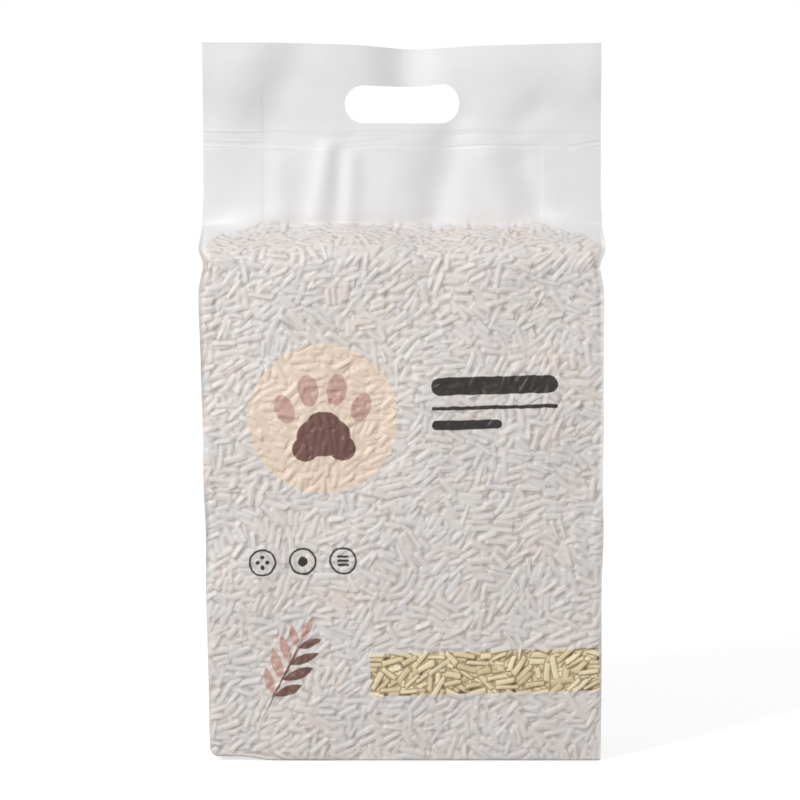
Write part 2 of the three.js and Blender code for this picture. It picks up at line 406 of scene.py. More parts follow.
def blurred(field, radius):
    """A field smoothed in both directions with a bell of that radius in cells."""
    reach = int(3 * radius) + 1
    kernel = bell(np.arange(-reach, reach + 1), radius * math.sqrt(2))
    kernel /= kernel.sum()
    for axis in (0, 1):
        pad = [(reach, reach) if a == axis else (0, 0) for a in (0, 1)]
        padded = np.pad(field, pad, mode="edge")
        size = field.shape[axis]
        field = sum(
            k * np.take(padded, range(i, i + size), axis=axis) for i, k in enumerate(kernel)
        )
    return field


# Layers of pellets, uppermost first: the share of a pellet that may lie on others,
# its shortest and longest length, and how deep its back lies at least and at most.
PELLET_LAYERS = (
    (0.04, 10 * MM, 17 * MM, 0.0 * MM, 0.45 * MM),
    (0.15, 7 * MM, 13 * MM, 0.15 * MM, 0.6 * MM),
    (0.45, 4.5 * MM, 8 * MM, 0.4 * MM, 0.9 * MM),
)
# From this share on, a pellet may lie with its middle on another.
LOOSE_OVERLAP = 0.4
TRIES_PER_LAYER = 0.32 / MM**2
FILM_PASSES = 14
# How far pellets turn from their bundle, and how much their tilt, roll, bow (per metre),
# slanted ends and taper differ.
TURN_SPREAD = 0.3
SHAPE_SPREADS = (0.055, 0.16, 5, 0.25, 0.08)
# The vacuum presses pellets into each other's flanks, so this share of the width keeps clear.
CLEAR_SHARE = 0.78
# A pellet's back is flatter than a circle, and its ends are worn over this length, to this depth.
ROUNDNESS = 3.2
WORN_LENGTH = 1.6 * MM
WORN_DEPTH = 0.6 * MM
# A gap or a hollow of this depth counts in full.
FULL_DEPTH = 0.5 * MM


def along_pellet(du, dv, heading, bow):
    """How far along and across a bowed pellet a place lies, from its middle."""
    along = du * np.cos(heading) + dv * np.sin(heading)
    across = dv * np.cos(heading) - du * np.sin(heading)
    return along, across - bow * along**2


class PelletBed:
    """The outer layer of litter behind a flat stretch of film, and how the film lies on it."""

    def __init__(self, pellets, width, height, seed):
        rng = np.random.default_rng(pellets.seed + seed)
        self.step = pellets.grid
        self.shape = (int(height / self.step) + 2, int(width / self.step) + 2)
        self.crest = np.full(self.shape, -pellets.depth)
        self.covered = np.zeros(self.shape, bool)
        self.tone = np.full(self.shape, 0.5)
        self.owner = np.full(self.shape, -1)
        self.laid = []
        # Pellets lie in small bundles, each with its own direction.
        patches = [int(side / pellets.bundle) + 3 for side in (height, width)]
        bundles = rng.normal(pellets.lean, pellets.spread, patches)
        tries = int(TRIES_PER_LAYER * width * height)
        for overlap, shortest, longest, high, low in PELLET_LAYERS:
            u = rng.uniform(0, width, tries)
            v = rng.uniform(0, height, tries)
            patch_v = (v + pellets.bundle * rng.uniform(0.3, 1.7, tries)) / pellets.bundle
            patch_u = (u + pellets.bundle * rng.uniform(0.3, 1.7, tries)) / pellets.bundle
            heading = bundles[patch_v.astype(int), patch_u.astype(int)]
            heading = heading + rng.normal(0, TURN_SPREAD, tries)
            half = rng.uniform(shortest, longest, tries) / 2
            radius = rng.uniform(pellets.thinnest, pellets.thickest, tries) / 2
            level = -rng.uniform(high, low, tries)
            shapes = [rng.normal(0, spread, tries) for spread in SHAPE_SPREADS]
            shade = rng.uniform(0, 1, tries)
            for pellet in zip(u, v, heading, half, radius, level, *shapes, shade):
                self.lay(overlap, *pellet)
        # The film lies on the pellets and sags into the gaps, like a skin drawn on by the vacuum.
        film = self.crest
        for _ in range(FILM_PASSES):
            film = np.maximum(self.crest, blurred(film, 1) - pellets.sag)
        # The depth of the gaps under the film, which the clear strip darkens as painted shadow.
        self.gap = np.clip(blurred(film - self.crest, 1.5) / FULL_DEPTH, 0, 1)
        # It is tight in some places and looser in others, patches of about 13 mm.
        rows, columns = (np.arange(size) * self.step for size in self.shape)
        patches = swell(columns[None, :], rows[:, None], 13 * MM, pellets.seed + seed)
        self.slack = np.clip(0.22 + 0.3 * patches, 0, 0.85)
        loose = blurred(film, 1.1 * MM / self.step)
        tight = film + 0.35 * (film - blurred(film, 0.8 * MM / self.step))
        self.height = blurred(tight, 0.7) * (1 - self.slack) + loose * self.slack
        # How far the film lies below its surroundings, which darkens it as painted shade in the
        # hollows.
        below = blurred(film, 1.8 * MM / self.step) - self.height
        self.hollow = np.clip(below / FULL_DEPTH, 0, 1)

    def lay(self, overlap, u, v, heading, half, radius, level, tilt, roll, bow, slant, taper, shade):
        """Lays one pellet on the bed, unless more than its share would lie on others."""
        if overlap < LOOSE_OVERLAP and self.covered[int(v / self.step), int(u / self.step)]:
            return
        reach = half + radius
        low_u, low_v = (max(int((c - reach) / self.step), 0) for c in (u, v))
        high_u, high_v = (int((c + reach) / self.step) + 2 for c in (u, v))
        window = (slice(low_v, high_v), slice(low_u, high_u))
        du = np.arange(low_u, min(high_u, self.shape[1]))[None, :] * self.step - u
        dv = np.arange(low_v, min(high_v, self.shape[0]))[:, None] * self.step - v
        along, across = along_pellet(du, dv, heading, bow)
        core = (np.abs(across) < CLEAR_SHARE * radius) & (np.abs(along) < half - 0.3 * MM)
        if self.covered[window][core].mean() > overlap:
            return
        to_end = half - np.abs(along + slant * across)
        end = np.clip(1 - to_end / WORN_LENGTH, 0, 1) ** 2
        flank = radius * (1 + taper * along / half) * (1 - 0.2 * end)
        share = np.minimum(np.abs(across) / flank, 1)
        section = (1 - share**ROUNDNESS) ** (1 / ROUNDNESS)
        top = level + tilt * along + roll * across - radius * (1 - section) - WORN_DEPTH * end
        shows = (share < 1) & (to_end > 0) & (top > self.crest[window])
        self.crest[window][shows] = top[shows]
        self.tone[window][shows] = shade
        self.owner[window][shows] = len(self.laid)
        self.laid.append((u, v, heading, half, radius, bow, slant, taper))
        self.covered[window] |= core

    def rim(self, u, v):
        """How far each corner of each face lies inside the outline of that face's top pellet."""
        cells = []
        for at, size in ((v, self.shape[0]), (u, self.shape[1])):
            with_middle = np.hstack([at, at.mean(axis=1, keepdims=True)])
            cells.append(np.clip(np.rint(with_middle / self.step).astype(int), 0, size - 1))
        uppermost = np.argmax(self.crest[tuple(cells)], axis=1)
        owner = self.owner[tuple(cells)][np.arange(len(u)), uppermost]
        middle_u, middle_v, heading, half, radius, bow, slant, taper = (
            np.array(self.laid)[owner].T[:, :, None]
        )
        along, across = along_pellet(u - middle_u, v - middle_v, heading, bow)
        flank = radius * (1 + taper * along / half) - np.abs(across)
        inside = np.minimum(flank, half - np.abs(along + slant * across))
        return np.where(owner[:, None] < 0, -1 * MM, inside)

    def sample(self, name, u, v):
        """One of the bed's fields at places on the film, between the points of the grid."""
        field = getattr(self, name)
        column = np.clip(u / self.step, 0, self.shape[1] - 1.001)
        row = np.clip(v / self.step, 0, self.shape[0] - 1.001)
        i, j = row.astype(int), column.astype(int)
        a, b = row - i, column - j
        lower = field[i, j] * (1 - b) + field[i, j + 1] * b
        upper = field[i + 1, j] * (1 - b) + field[i + 1, j + 1] * b
        return lower * (1 - a) + upper * a


def fill_mask(bag, levels, x, run):
    """Where litter lies behind the film, where the film takes its warmer colour, and the painted
    shade of the hollows along its edge.
    """
    line = levels.ridge_run - 0.3 * MM
    for height, wavelength, seed in ((1.2 * MM, 22 * MM, 71), (0.6 * MM, 7 * MM, 73)):
        line = line + height * swell(x, 0 * x, wavelength, seed)
    # The corners of the shoulder stay empty: drops in millimetres between two places from the edge.
    edge = bag.width / 2
    for drop, start, end in ((14, 45, 16), (24, 16, 0)):
        line = line - drop * MM * smoothstep(edge - start * MM, edge - end * MM, np.abs(x))
    litter = 1 - smoothstep(line - 1.2 * MM, line + 0.8 * MM, run)
    # The film takes on the warmer filled colour for a little way above the line.
    warm_fade = 0.55 * (1 - smoothstep(line, line + 14 * MM, run))
    tint = np.maximum(warm_fade, 1 - smoothstep(line - 5 * MM, line + 2 * MM, run))
    # Painted shade marks small hollows under the film along the line, where it leaves the pellets.
    hollows = np.clip(0.45 + 0.55 * swell(x, 0 * x, 7 * MM, seed=74), 0, 0.8)
    return litter, tint, bell(run - line, 1.1 * MM) * hollows


# Making meshes

# The flat layout of a film, through which its finish can be baked
FILM_MAP = "OFBake"
# Film that bridges the bend at the ridge stands out and up from it in these shares.
BRIDGE_OUT = 0.83
BRIDGE_UP = 0.56
# It leaves the film this far before and after the bend, and stands off by this share of that.
BRIDGE_REACH = 14 * MM
BRIDGE_SHARE = 0.28
# The film on the backs of the uppermost pellets stands this far out from the block's even face.
PROUD = 0.5 * MM
LUMP_SIZE = 75 * MM
# A crease leaves its corner along the diagonal, this share each way.
DIAGONAL = 0.7
# The lip of the folded foot: its ends, its length of film from the foot's edge, its arch,
# its line's half width and its depth.
LIP_LEFT = -100 * MM
LIP_RIGHT = -78 * MM
LIP_RUN = 3 * MM
LIP_ARCH = 1.2 * MM
LIP_LINE = 0.75 * MM
LIP_DEPTH = 1.2 * MM
# The seam down the back: how proud it stands, and how much of the pellets its layers hide.
SEAM_RISE = 0.7 * MM
SEAM_COVER = 0.55
# The folds of the foot and of the gussets.
FOOT_SEAL = 10 * MM
FOOT_FOLD_DEPTH = 0.6 * MM
FOOT_FOLD_WIDTH = 0.9 * MM
GUSSET_FOLD_DEPTH = 0.7 * MM
GUSSET_FOLD_WIDTH = 1.3 * MM
# Edges of the header sharper than this stay sharp.
SHARP_EDGE = math.radians(40)
# A slant on which no two faces of the header lie level.
FACE_ORDER = Vector((1, 0.3719, 0.6173))


def film_grid(columns, rows):
    """A flat grid of film as a bmesh, one unit square, with this many points across and up."""
    bm = bmesh.new()
    bm.loops.layers.uv.new(FILM_MAP)
    bmesh.ops.create_grid(bm, x_segments=columns - 1, y_segments=rows - 1, size=0.5, calc_uvs=True)
    bmesh.ops.translate(bm, verts=bm.verts, vec=(0.5, 0.5, 0))
    return bm


def grid_points(mesh):
    """Where each vertex of a flat grid lies across and up."""
    points = np.zeros(len(mesh.vertices) * 3)
    mesh.vertices.foreach_get("co", points)
    points = points.reshape(-1, 3)
    return points[:, 0], points[:, 1]


def make_piece(name, bm, material):
    """Turns a bmesh into a smooth piece that rides with the bag and stands for the CAD solid."""
    mesh = bpy.data.meshes.new(name)
    bm.to_mesh(mesh)
    bm.free()
    mesh.materials.append(material)
    mesh.shade_smooth()
    piece = bpy.data.objects.new(name, mesh)
    bpy.context.scene.collection.objects.link(piece)
    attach(piece, BODY)
    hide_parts(BAG_NODE)
    return piece


def place(mesh, x, y, z):
    """Moves every vertex of a mesh, none of them below the floor."""
    points = np.stack([x, y, np.maximum(z, 0)], axis=1)
    mesh.vertices.foreach_set("co", np.ascontiguousarray(points, np.float32).ravel())
    mesh.update()


def paint(mesh, domain="POINT", **fields):
    """Stores numbers at the vertices, or at the faces' corners, for the material to read."""
    for name, values in fields.items():
        attribute = mesh.attributes.new(name, "FLOAT", domain)
        attribute.data.foreach_set("value", np.ascontiguousarray(values, np.float32).ravel())


def face_corners(mesh):
    """The vertices at the four corners of each face of a grid."""
    corners = np.zeros(len(mesh.loops), np.int32)
    mesh.loops.foreach_get("vertex_index", corners)
    return corners.reshape(-1, 4)


def crease_shift(bag, levels, row, distance):
    """How far the film beside an upright crease goes out with it, and how far it is drawn in."""
    z = levels.z[row]
    # The corners are pinched hardest just under the shoulder, where the gusset starts to fold in.
    strength = 0.35 + 0.65 * smoothstep(bag.fill_height - 75 * MM, bag.fill_height - 25 * MM, z)
    strength = strength * levels.openness[row] * np.clip(z / (12 * MM), 0, 1)
    out = bag.crease * bell(distance, 0.9 * MM) * strength
    drawn_in = bag.pinch * bell(distance - 1.8 * MM, 1.1 * MM) * strength
    return out, drawn_in


def crown_rise(bag, across, z):
    """How far a face of the block swells towards its middle."""
    upright = np.sin(math.pi * np.clip(z / bag.fill_height, 0, 1))
    return bag.crown * upright * (1 - (2 * across - 1) ** 2)


def corner_fill(levels, x, run, near):
    """How far the empty film at the shoulder's corners bridges the bend at the ridge."""
    beside = smoothstep(62 * MM, 90 * MM, np.abs(x)) * smoothstep(0, 30 * MM, near)
    to_end = np.clip(1 - np.abs(run - levels.ridge_run) / BRIDGE_REACH, 0, 1)
    return BRIDGE_SHARE * BRIDGE_REACH * beside * to_end**2


def relief_mask(litter, near, run):
    """How much of the pellets' relief shows: less towards the creases and the foot's edge."""
    return litter * smoothstep(0, 1.8 * MM, near) * smoothstep(0.5 * MM, 4 * MM, run)


def foot_lip(x, run):
    """1 on the short, arched line where a lip of the folded foot shows at the front left."""
    share = (x - LIP_LEFT) / (LIP_RIGHT - LIP_LEFT)
    middle = LIP_RUN + LIP_ARCH * np.sin(math.pi * np.clip(share, 0, 1))
    ends = smoothstep(0, 0.2, share) * (1 - smoothstep(0.7, 1, share))
    return bell(run - middle, LIP_LINE) * ends


def build_front(sizes):
    """The printed film, drawn tight over the litter and flat from the ridge up to the seal."""
    bag, header = sizes.bag, sizes.header
    levels = Levels(bag, header)
    bm = film_grid(FRONT_COLUMNS, len(levels.run))
    piece = make_piece("front_film", bm, printed_film(sizes))
    across, up = grid_points(piece.data)
    row = levels.row(up)
    left, right, run, z = levels.left[row], levels.right[row], levels.run[row], levels.z[row]
    x = -left + across * (left + right)
    y = -levels.depth[row]
    u = across * bag.width
    near = np.minimum(x + left, right - x)
    side = np.where(across < 0.5, -1, 1)
    bed = PelletBed(sizes.pellets, bag.width, levels.ridge_run, seed=100)
    litter, tint, fill_line_shade = fill_mask(bag, levels, x, run)
    relief = relief_mask(litter, near, run)
    lumps = bag.lumps * swell(x, run, LUMP_SIZE, seed=19)
    out, drawn_in = crease_shift(bag, levels, row, near)
    lip = foot_lip(x, run)
    rise = crown_rise(bag, across, z) - drawn_in - LIP_DEPTH * lip
    rise = rise + relief * (lumps + PROUD + bed.sample("height", u, run))
    bridge = corner_fill(levels, x, run, near)
    forward = DIAGONAL * out + rise * levels.out_depth[row] + bridge * BRIDGE_OUT
    place(
        piece.data,
        x + side * DIAGONAL * out,
        y - forward + header_wave(bag, header, x, z),
        z + rise * levels.out_z[row] + bridge * BRIDGE_UP + foot_rise(bag, x, y, z),
    )
    # Painted shade: in the hollows between pellets, along the fill line and on the lip's line.
    hollow = np.maximum(relief * bed.sample("hollow", u, run), fill_line_shade)
    paint(
        piece.data,
        filled=tint,
        hollow=np.maximum(hollow, lip),
        gap=relief * bed.sample("gap", u, run),
        tone=bed.sample("tone", u, run),
        tight=relief * (1 - bed.sample("slack", u, run)),
    )
    corners = face_corners(piece.data)
    paint(piece.data, "CORNER", rim=bed.rim(u[corners], run[corners]))


def build_back(sizes):
    """The film of the back and of both gussets, which fold in above the litter."""
    bag, header, pellets = sizes.bag, sizes.header, sizes.pellets
    levels = Levels(bag, header)
    columns = 2 * GUSSET_COLUMNS + BACK_COLUMNS
    bm = film_grid(columns, len(levels.run))
    piece = make_piece("back_and_gussets", bm, plain_film(sizes))
    across, up = grid_points(piece.data)
    row = levels.row(up)
    left, right, run, z = levels.left[row], levels.right[row], levels.run[row], levels.z[row]
    depth, tuck = levels.depth[row], levels.tuck[row]
    column = across * (columns - 1)
    in_right = column < GUSSET_COLUMNS
    in_left = column > columns - 1 - GUSSET_COLUMNS
    in_back = ~(in_right | in_left)

    # On a gusset the share goes from the front crease, over the fold, to the back crease.
    share = np.where(in_left, columns - 1 - column, column) / GUSSET_COLUMNS
    from_fold = np.abs(2 * share - 1)
    half_width = np.where(in_left, left, right)
    side = np.where(in_left, -1.0, 1.0)
    back_share = (column - GUSSET_COLUMNS) / (columns - 1 - 2 * GUSSET_COLUMNS)
    back_share = np.clip(back_share, 0, 1)
    back_x = right - back_share * (left + right)
    x = np.where(in_back, back_x, side * (half_width - tuck * (1 - from_fold)))
    y = np.where(in_back, depth, depth * (2 * share - 1))
    gusset_near = (1 - from_fold) * bag.gusset
    near = np.where(in_back, np.minimum(back_x + left, right - back_x), gusset_near)

    back_bed = PelletBed(pellets, bag.width, levels.ridge_run, seed=200)
    side_bed = PelletBed(pellets, 4 * bag.gusset, bag.fill_height, seed=300)
    back_u = back_share * bag.width
    side_u = share * 2 * bag.gusset + np.where(in_left, 2 * bag.gusset, 0)

    def on_film(name):
        on_back = back_bed.sample(name, back_u, run)
        return np.where(in_back, on_back, side_bed.sample(name, side_u, z))

    on_gusset = 1 - smoothstep(bag.fill_height - 16 * MM, bag.fill_height - 4 * MM, z)
    litter, tint, fill_line_shade = fill_mask(bag, levels, x, run)
    litter, tint = (np.where(in_back, mask, on_gusset) for mask in (litter, tint))
    # A gusset is stretched flat for some way beside its creases.
    relief = relief_mask(litter, np.where(in_back, near, 0.3 * near), run)
    # Three layers of film lie on each other in the seam, so less of the pellets shows there.
    beside_seam = np.abs(x) - bag.seam_width / 2
    over_seam = np.where(in_back, 1 - smoothstep(0, 1.6 * MM, beside_seam), 0)
    relief = relief * (1 - SEAM_COVER * over_seam)
    # The gussets are the flatter sides.
    lumps = np.where(in_back, 1, 0.4) * bag.lumps * swell(x + y, run, LUMP_SIZE, seed=23)
    proud = np.where(in_back, PROUD, -0.6 * PROUD)
    fold_line = GUSSET_FOLD_DEPTH * bell(from_fold * bag.gusset, GUSSET_FOLD_WIDTH) * litter
    out, drawn_in = crease_shift(bag, levels, row, near)
    back_rise = crown_rise(bag, back_share, z) + SEAM_RISE * over_seam
    rise = np.where(in_back, back_rise, -fold_line) - drawn_in
    rise = rise + relief * (lumps + proud + on_film("height"))
    bridge = np.where(in_back, corner_fill(levels, x, run, near), 0)
    facing = np.where(y < 0, -1.0, 1.0)
    outward = np.where(in_back, np.sign(x), side) * DIAGONAL * out
    backward = np.where(in_back, rise * levels.out_depth[row], 0) + bridge * BRIDGE_OUT
    upward = np.where(in_back, rise * levels.out_z[row], 0) + bridge * BRIDGE_UP
    place(
        piece.data,
        x + outward + np.where(in_back, 0, side * rise),
        y + facing * DIAGONAL * out + backward + header_wave(bag, header, x, z),
        z + upward + foot_rise(bag, x, y, z),
    )
    tight = relief * (1 - on_film("slack"))
    # Painted shade in the hollows between pellets and along the fill line.
    hollow = np.maximum(relief * on_film("hollow"), np.where(in_back, fill_line_shade, 0))
    paint(piece.data, filled=tint, hollow=hollow, tone=on_film("tone"), tight=tight)
    corners = face_corners(piece.data)
    rim = np.where(
        in_back[corners].all(axis=1, keepdims=True),
        back_bed.rim(back_u[corners], run[corners]),
        side_bed.rim(side_u[corners], z[corners]),
    )
    paint(piece.data, "CORNER", rim=rim)


def build_foot(sizes):
    """The film under the block, folded over the bottom seal and tucked at both ends."""
    bag = sizes.bag
    piece = make_piece("folded_foot", film_grid(FOOT_COLUMNS, FOOT_ROWS), plain_film(sizes))
    across, up = grid_points(piece.data)
    left, right = (side[0] for side in half_widths(bag, np.zeros(1)))
    half_depth = bag.gusset + bag.foot_swell - bag.foot_reach
    # The grid runs from right to left, so that its faces look down.
    x = right - across * (left + right)
    y = (2 * up - 1) * half_depth
    from_end = np.minimum(x + left, right - x)
    inner = np.minimum(from_end, half_depth - np.abs(y))
    # Fold lines: along the bottom seal and its free edge, and on the diagonals of both ends.
    diagonal = np.abs(np.abs(y) + from_end - half_depth) / math.sqrt(2)
    line = np.minimum(np.minimum(np.abs(y), np.abs(y - FOOT_SEAL)), diagonal)
    fold = bell(line, FOOT_FOLD_WIDTH)
    groove = FOOT_FOLD_DEPTH * fold * smoothstep(0, 3 * MM, inner)
    place(piece.data, x, y, groove + foot_rise(bag, x, y))
    # Painted shade along the foot's fold lines.
    paint(piece.data, filled=0 * x + 0.6, hollow=0.6 * fold, tone=0 * x + 0.5)


def slot_offset(header, bag, x, z):
    """Signed distance from the hand slot's outline, and the nearest point on it."""
    radius = header.slot_height / 2
    middle = bag.top - header.slot_drop - radius
    straight = header.slot_length / 2 - radius
    core_x = np.clip(x, -straight, straight)
    dx, dz = x - core_x, z - middle
    distance = np.hypot(dx, dz)
    safe = np.maximum(distance, 1e-9)
    return distance - radius, core_x + dx / safe * radius, middle + dz / safe * radius


def header_stretch(header, bag, x, z):
    """How far the film of the header is pulled up or down where the slot has been carried."""
    slot_top = bag.top - header.slot_drop
    above = smoothstep(slot_top - 14 * MM, bag.top, z)
    slack = 1.3 * MM * bell(x - 60 * MM, 40 * MM) + 0.7 * MM * bell(x + 40 * MM, 30 * MM)
    sag = -above * (header.dip * bell(x - 8 * MM, 30 * MM) + slack)
    lift = 1.6 * MM * bell(x - 28 * MM, 14 * MM) * bell(z - slot_top, 12 * MM)
    return sag + lift


# Ribs and wrinkles of the seal in millimetres: from x to x, height above the band's foot
# at both ends, and how far back (+) or forward (-) they go.
SEAL_RIBS = (
    # three ribs across the four layers at the left end
    (-133, -78, 12.2, 11.4, -0.24),
    (-133, -70, 6.6, 4.8, -0.16),
    (-133, -60, 2.8, 0.8, -0.24),
    # thin wrinkles under the slot
    (-52, 2, 10.4, 9.4, -0.12),
    (-56, 4, 5.4, 7.8, -0.15),
    (-40, -4, 2.8, 3.8, -0.1),
    # the two lines of the right half, where the lower one bows
    (22, 90, 9.2, 9.8, 0.12),
    (22, 62, 0.6, 3.0, 0.22),
    (46, 92, 2.6, 2.6, 0.2),
    # slanting wrinkles that run out at the right end
    (100, 140, 2.6, 10.4, -0.2),
    (103, 140, -0.4, 7.2, -0.2),
    (98, 140, 0.8, 0.2, 0.22),
)


def seal_relief(header, x, above_foot):
    """How far the sealing jaws press the film in: an uneven band, broken ribs and puckers."""
    wander = 0.5 * MM * swell(x, 0 * x, 40 * MM, seed=83)
    height = above_foot - wander
    top = header.seal_height
    band = smoothstep(0.3 * MM, 2 * MM, height)
    band = band * (1 - smoothstep(top - 1.6 * MM, top + 0.6 * MM, height))
    puckers = swell(x, 2 * above_foot, 22 * MM, seed=87) * bell(above_foot - 5 * MM, 5 * MM)
    relief = header.seal_press * band + 0.2 * MM * puckers
    for x0, x1, height0, height1, depth in SEAL_RIBS:
        share = (x / MM - x0) / (x1 - x0)
        ends = smoothstep(0, 0.15, share) * (1 - smoothstep(0.7, 1, share))
        middle = (height0 + share * (height1 - height0)) * MM + 0.6 * wander
        relief = relief + depth * MM * ends * bell(above_foot - middle, 0.65 * MM)
    return relief


def build_header(sizes):
    """The flat film from the seal up, punched with the hand slot."""
    bag, header = sizes.bag, sizes.header
    bm = film_grid(HEADER_COLUMNS, HEADER_ROWS)
    foot = seal_foot(bag, header)
    for vertex in bm.verts:
        vertex.co.x = (vertex.co.x - 0.5) * bag.width
        vertex.co.y = foot + vertex.co.y * (bag.top - foot)

    def to_slot(point):
        return slot_offset(header, bag, *point.xy)

    inside = [f for f in bm.faces if to_slot(f.calc_center_median())[0] < 0]
    bmesh.ops.delete(bm, geom=inside, context="FACES")
    rim = [v for v in bm.verts if v.is_boundary and abs(to_slot(v.co)[0]) < 2.5 * MM]
    for vertex in rim:
        vertex.co.x, vertex.co.y = to_slot(vertex.co)[1:]
    beside = {v for r in rim for e in r.link_edges for v in e.verts} - set(rim)
    for _ in range(4):
        bmesh.ops.smooth_vert(bm, verts=list(beside), factor=0.4, use_axis_x=True, use_axis_y=True)
    piece = make_piece("sealed_header", bm, header_film(sizes))
    mesh = piece.data
    x, z = grid_points(mesh)
    x = x * (1 - 2 * bag.draw_in / bag.width)
    y = header_wave(bag, header, x, z) + seal_relief(header, x, z - foot)
    place(mesh, x, y - header.half_gap, z + header_stretch(header, bag, x, z))
    solid = bmesh.new()
    solid.from_mesh(mesh)
    bmesh.ops.solidify(solid, geom=solid.faces, thickness=2 * header.half_gap)
    # Solidify adds the faces of the edges in no fixed order, so all are sorted along a slant.
    solid.faces.sort(key=lambda face: face.calc_center_median().dot(FACE_ORDER))
    solid.to_mesh(mesh)
    solid.free()
    mesh.shade_smooth()
    mesh.set_sharp_from_angle(angle=SHARP_EDGE)


# Materials


def add_node(tree, kind, inputs=None, output=0, **settings):
    """Adds a node with its settings, fills or links its sockets, and gives one of its outputs."""
    node = tree.nodes.new("ShaderNode" + kind)
    for name, value in settings.items():
        setattr(node, name, value)
    for socket, value in (inputs or {}).items():
        if isinstance(value, bpy.types.NodeSocket):
            tree.links.new(value, node.inputs[socket])
        else:
            node.inputs[socket].default_value = value
    return node.outputs[output]


def new_material(name):
    """An empty node material with its shader."""
    material = bpy.data.materials.new(name)
    material.use_nodes = True
    tree = material.node_tree
    return material, tree, tree.nodes["Principled BSDF"]


def opaque(linear_colour):
    """A colour with full cover, as a socket takes it."""
    return (*linear_colour, 1)


def tinted(tree, surface, tint, value, low, high, most):
    """A surface that takes on a tint, from none of it at a low value to the most at a high one."""
    share = add_node(tree, "MapRange", {0: value, 1: low, 2: high, 3: 0, 4: most})
    return add_node(tree, "Mix", {0: share, 6: surface, 7: opaque(tint)}, 2, data_type="RGBA")


def joined(tree, shapes):
    """All of these shapes as one."""
    whole = shapes[0]
    for shape in shapes[1:]:
        whole = add_node(tree, "Math", {0: whole, 1: shape}, operation="MAXIMUM")
    return whole


def pellet_edges(tree, coordinates):
    """Four fields of the pellets' edges.

    The outline and the round flanks as they are, which a clear film shows, and then the line
    and the 0.8 mm flank that show in the white film where it lies tight. The outline, the round
    flanks and the line darken the colour as painted shade; the 0.8 mm flank is a bump.
    """
    names = ("rim", "tight")
    rim, tight = (add_node(tree, "Attribute", None, "Fac", attribute_name=name) for name in names)
    # The film bridges an outline here and there, for about 5 mm.
    noise = add_node(tree, "TexNoise", {"Vector": coordinates, "Scale": 1 / (5 * MM), "Detail": 1})
    kept = add_node(tree, "MapRange", {0: noise, 1: 0.35, 2: 0.6, 3: 0.3, 4: 1})
    shown = add_node(tree, "Math", {0: kept, 1: tight}, operation="MULTIPLY")
    beside = add_node(tree, "Math", {0: rim, 1: 0.12 * MM}, operation="SUBTRACT")
    distance = add_node(tree, "Math", {0: beside}, operation="ABSOLUTE")
    edges = []
    for value, low, high, at_low, at_high, share, kind in (
        (distance, 0, 0.35 * MM, 1, 0, 1, "SMOOTHSTEP"),
        (rim, 0, 1.2 * MM, 1, 0, 1, "SMOOTHSTEP"),
        (distance, 0, 0.45 * MM, 1, 0, shown, "SMOOTHSTEP"),
        (rim, -0.1 * MM, 0.7 * MM, 0, 1, shown, "LINEAR"),
    ):
        inputs = {0: value, 1: low, 2: high, 3: at_low, 4: at_high}
        ramp = add_node(tree, "MapRange", inputs, interpolation_type=kind)
        edges.append(add_node(tree, "Math", {0: ramp, 1: share}, operation="MULTIPLY"))
    return edges


def flat_film(tree, colours, coordinates):
    """Colour of film that lies on film: cool white, with faint patches of about 30 mm."""
    noise = add_node(tree, "TexNoise", {"Vector": coordinates, "Scale": 1 / (30 * MM), "Detail": 3})
    return tinted(tree, opaque(colours.header), colours.sheer, noise, 0.4, 0.7, 0.7)


def film_surface(tree, colours, coordinates, line):
    """Colour of the bare film: cool on film, warm and uneven over litter, with painted shade between
    pellets.
    """
    names = ("filled", "hollow", "tone")
    filled, hollow, tone = (
        add_node(tree, "Attribute", None, "Fac", attribute_name=name) for name in names
    )
    surface = opaque(colours.filled)
    # Blushed and cool patches are about 14 and 22 mm across, and each pellet leans to one.
    for patch, tint in ((14 * MM, colours.blush), (22 * MM, colours.cool)):
        noise = add_node(tree, "TexNoise", {"Vector": coordinates, "Scale": 1 / patch, "Detail": 2})
        leaning = add_node(tree, "Math", {0: tone, 1: 0.25, 2: noise}, operation="MULTIPLY_ADD")
        surface = tinted(tree, surface, tint, leaning, 0.52, 0.82, 0.9)
    # Painted shade in the hollows between pellets and along the pellets' outlines.
    surface = tinted(tree, surface, colours.hollow, hollow, 0.1, 0.9, 0.6)
    surface = tinted(tree, surface, colours.hollow, line, 0, 1, 0.4)
    flat = flat_film(tree, colours, coordinates)
    return add_node(tree, "Mix", {0: filled, 6: flat, 7: surface}, 2, data_type="RGBA")


def finish_film(tree, shader, coordinates, surface, flank=None):
    """Satin laminate: a soft gloss, broken by a 0.8 mm grain and by the flanks of the pellets."""
    speckle = {"Vector": coordinates, "Scale": 1 / (0.8 * MM), "Detail": 2}
    grain = add_node(tree, "TexNoise", speckle)
    rough = add_node(tree, "MapRange", {0: grain, 1: 0.3, 2: 0.7, 3: 0.42, 4: 0.54})
    bump = {"Height": grain, "Strength": 0.12, "Distance": 0.15 * MM}
    if flank is not None:
        steep = {"Height": flank, "Strength": 1, "Distance": 0.3 * MM}
        bump["Normal"] = add_node(tree, "Bump", steep)
    normal = add_node(tree, "Bump", bump)
    for socket, value in (("Base Color", surface), ("Roughness", rough), ("Normal", normal)):
        tree.links.new(value, shader.inputs[socket])
    shader.inputs["IOR"].default_value = 1.5


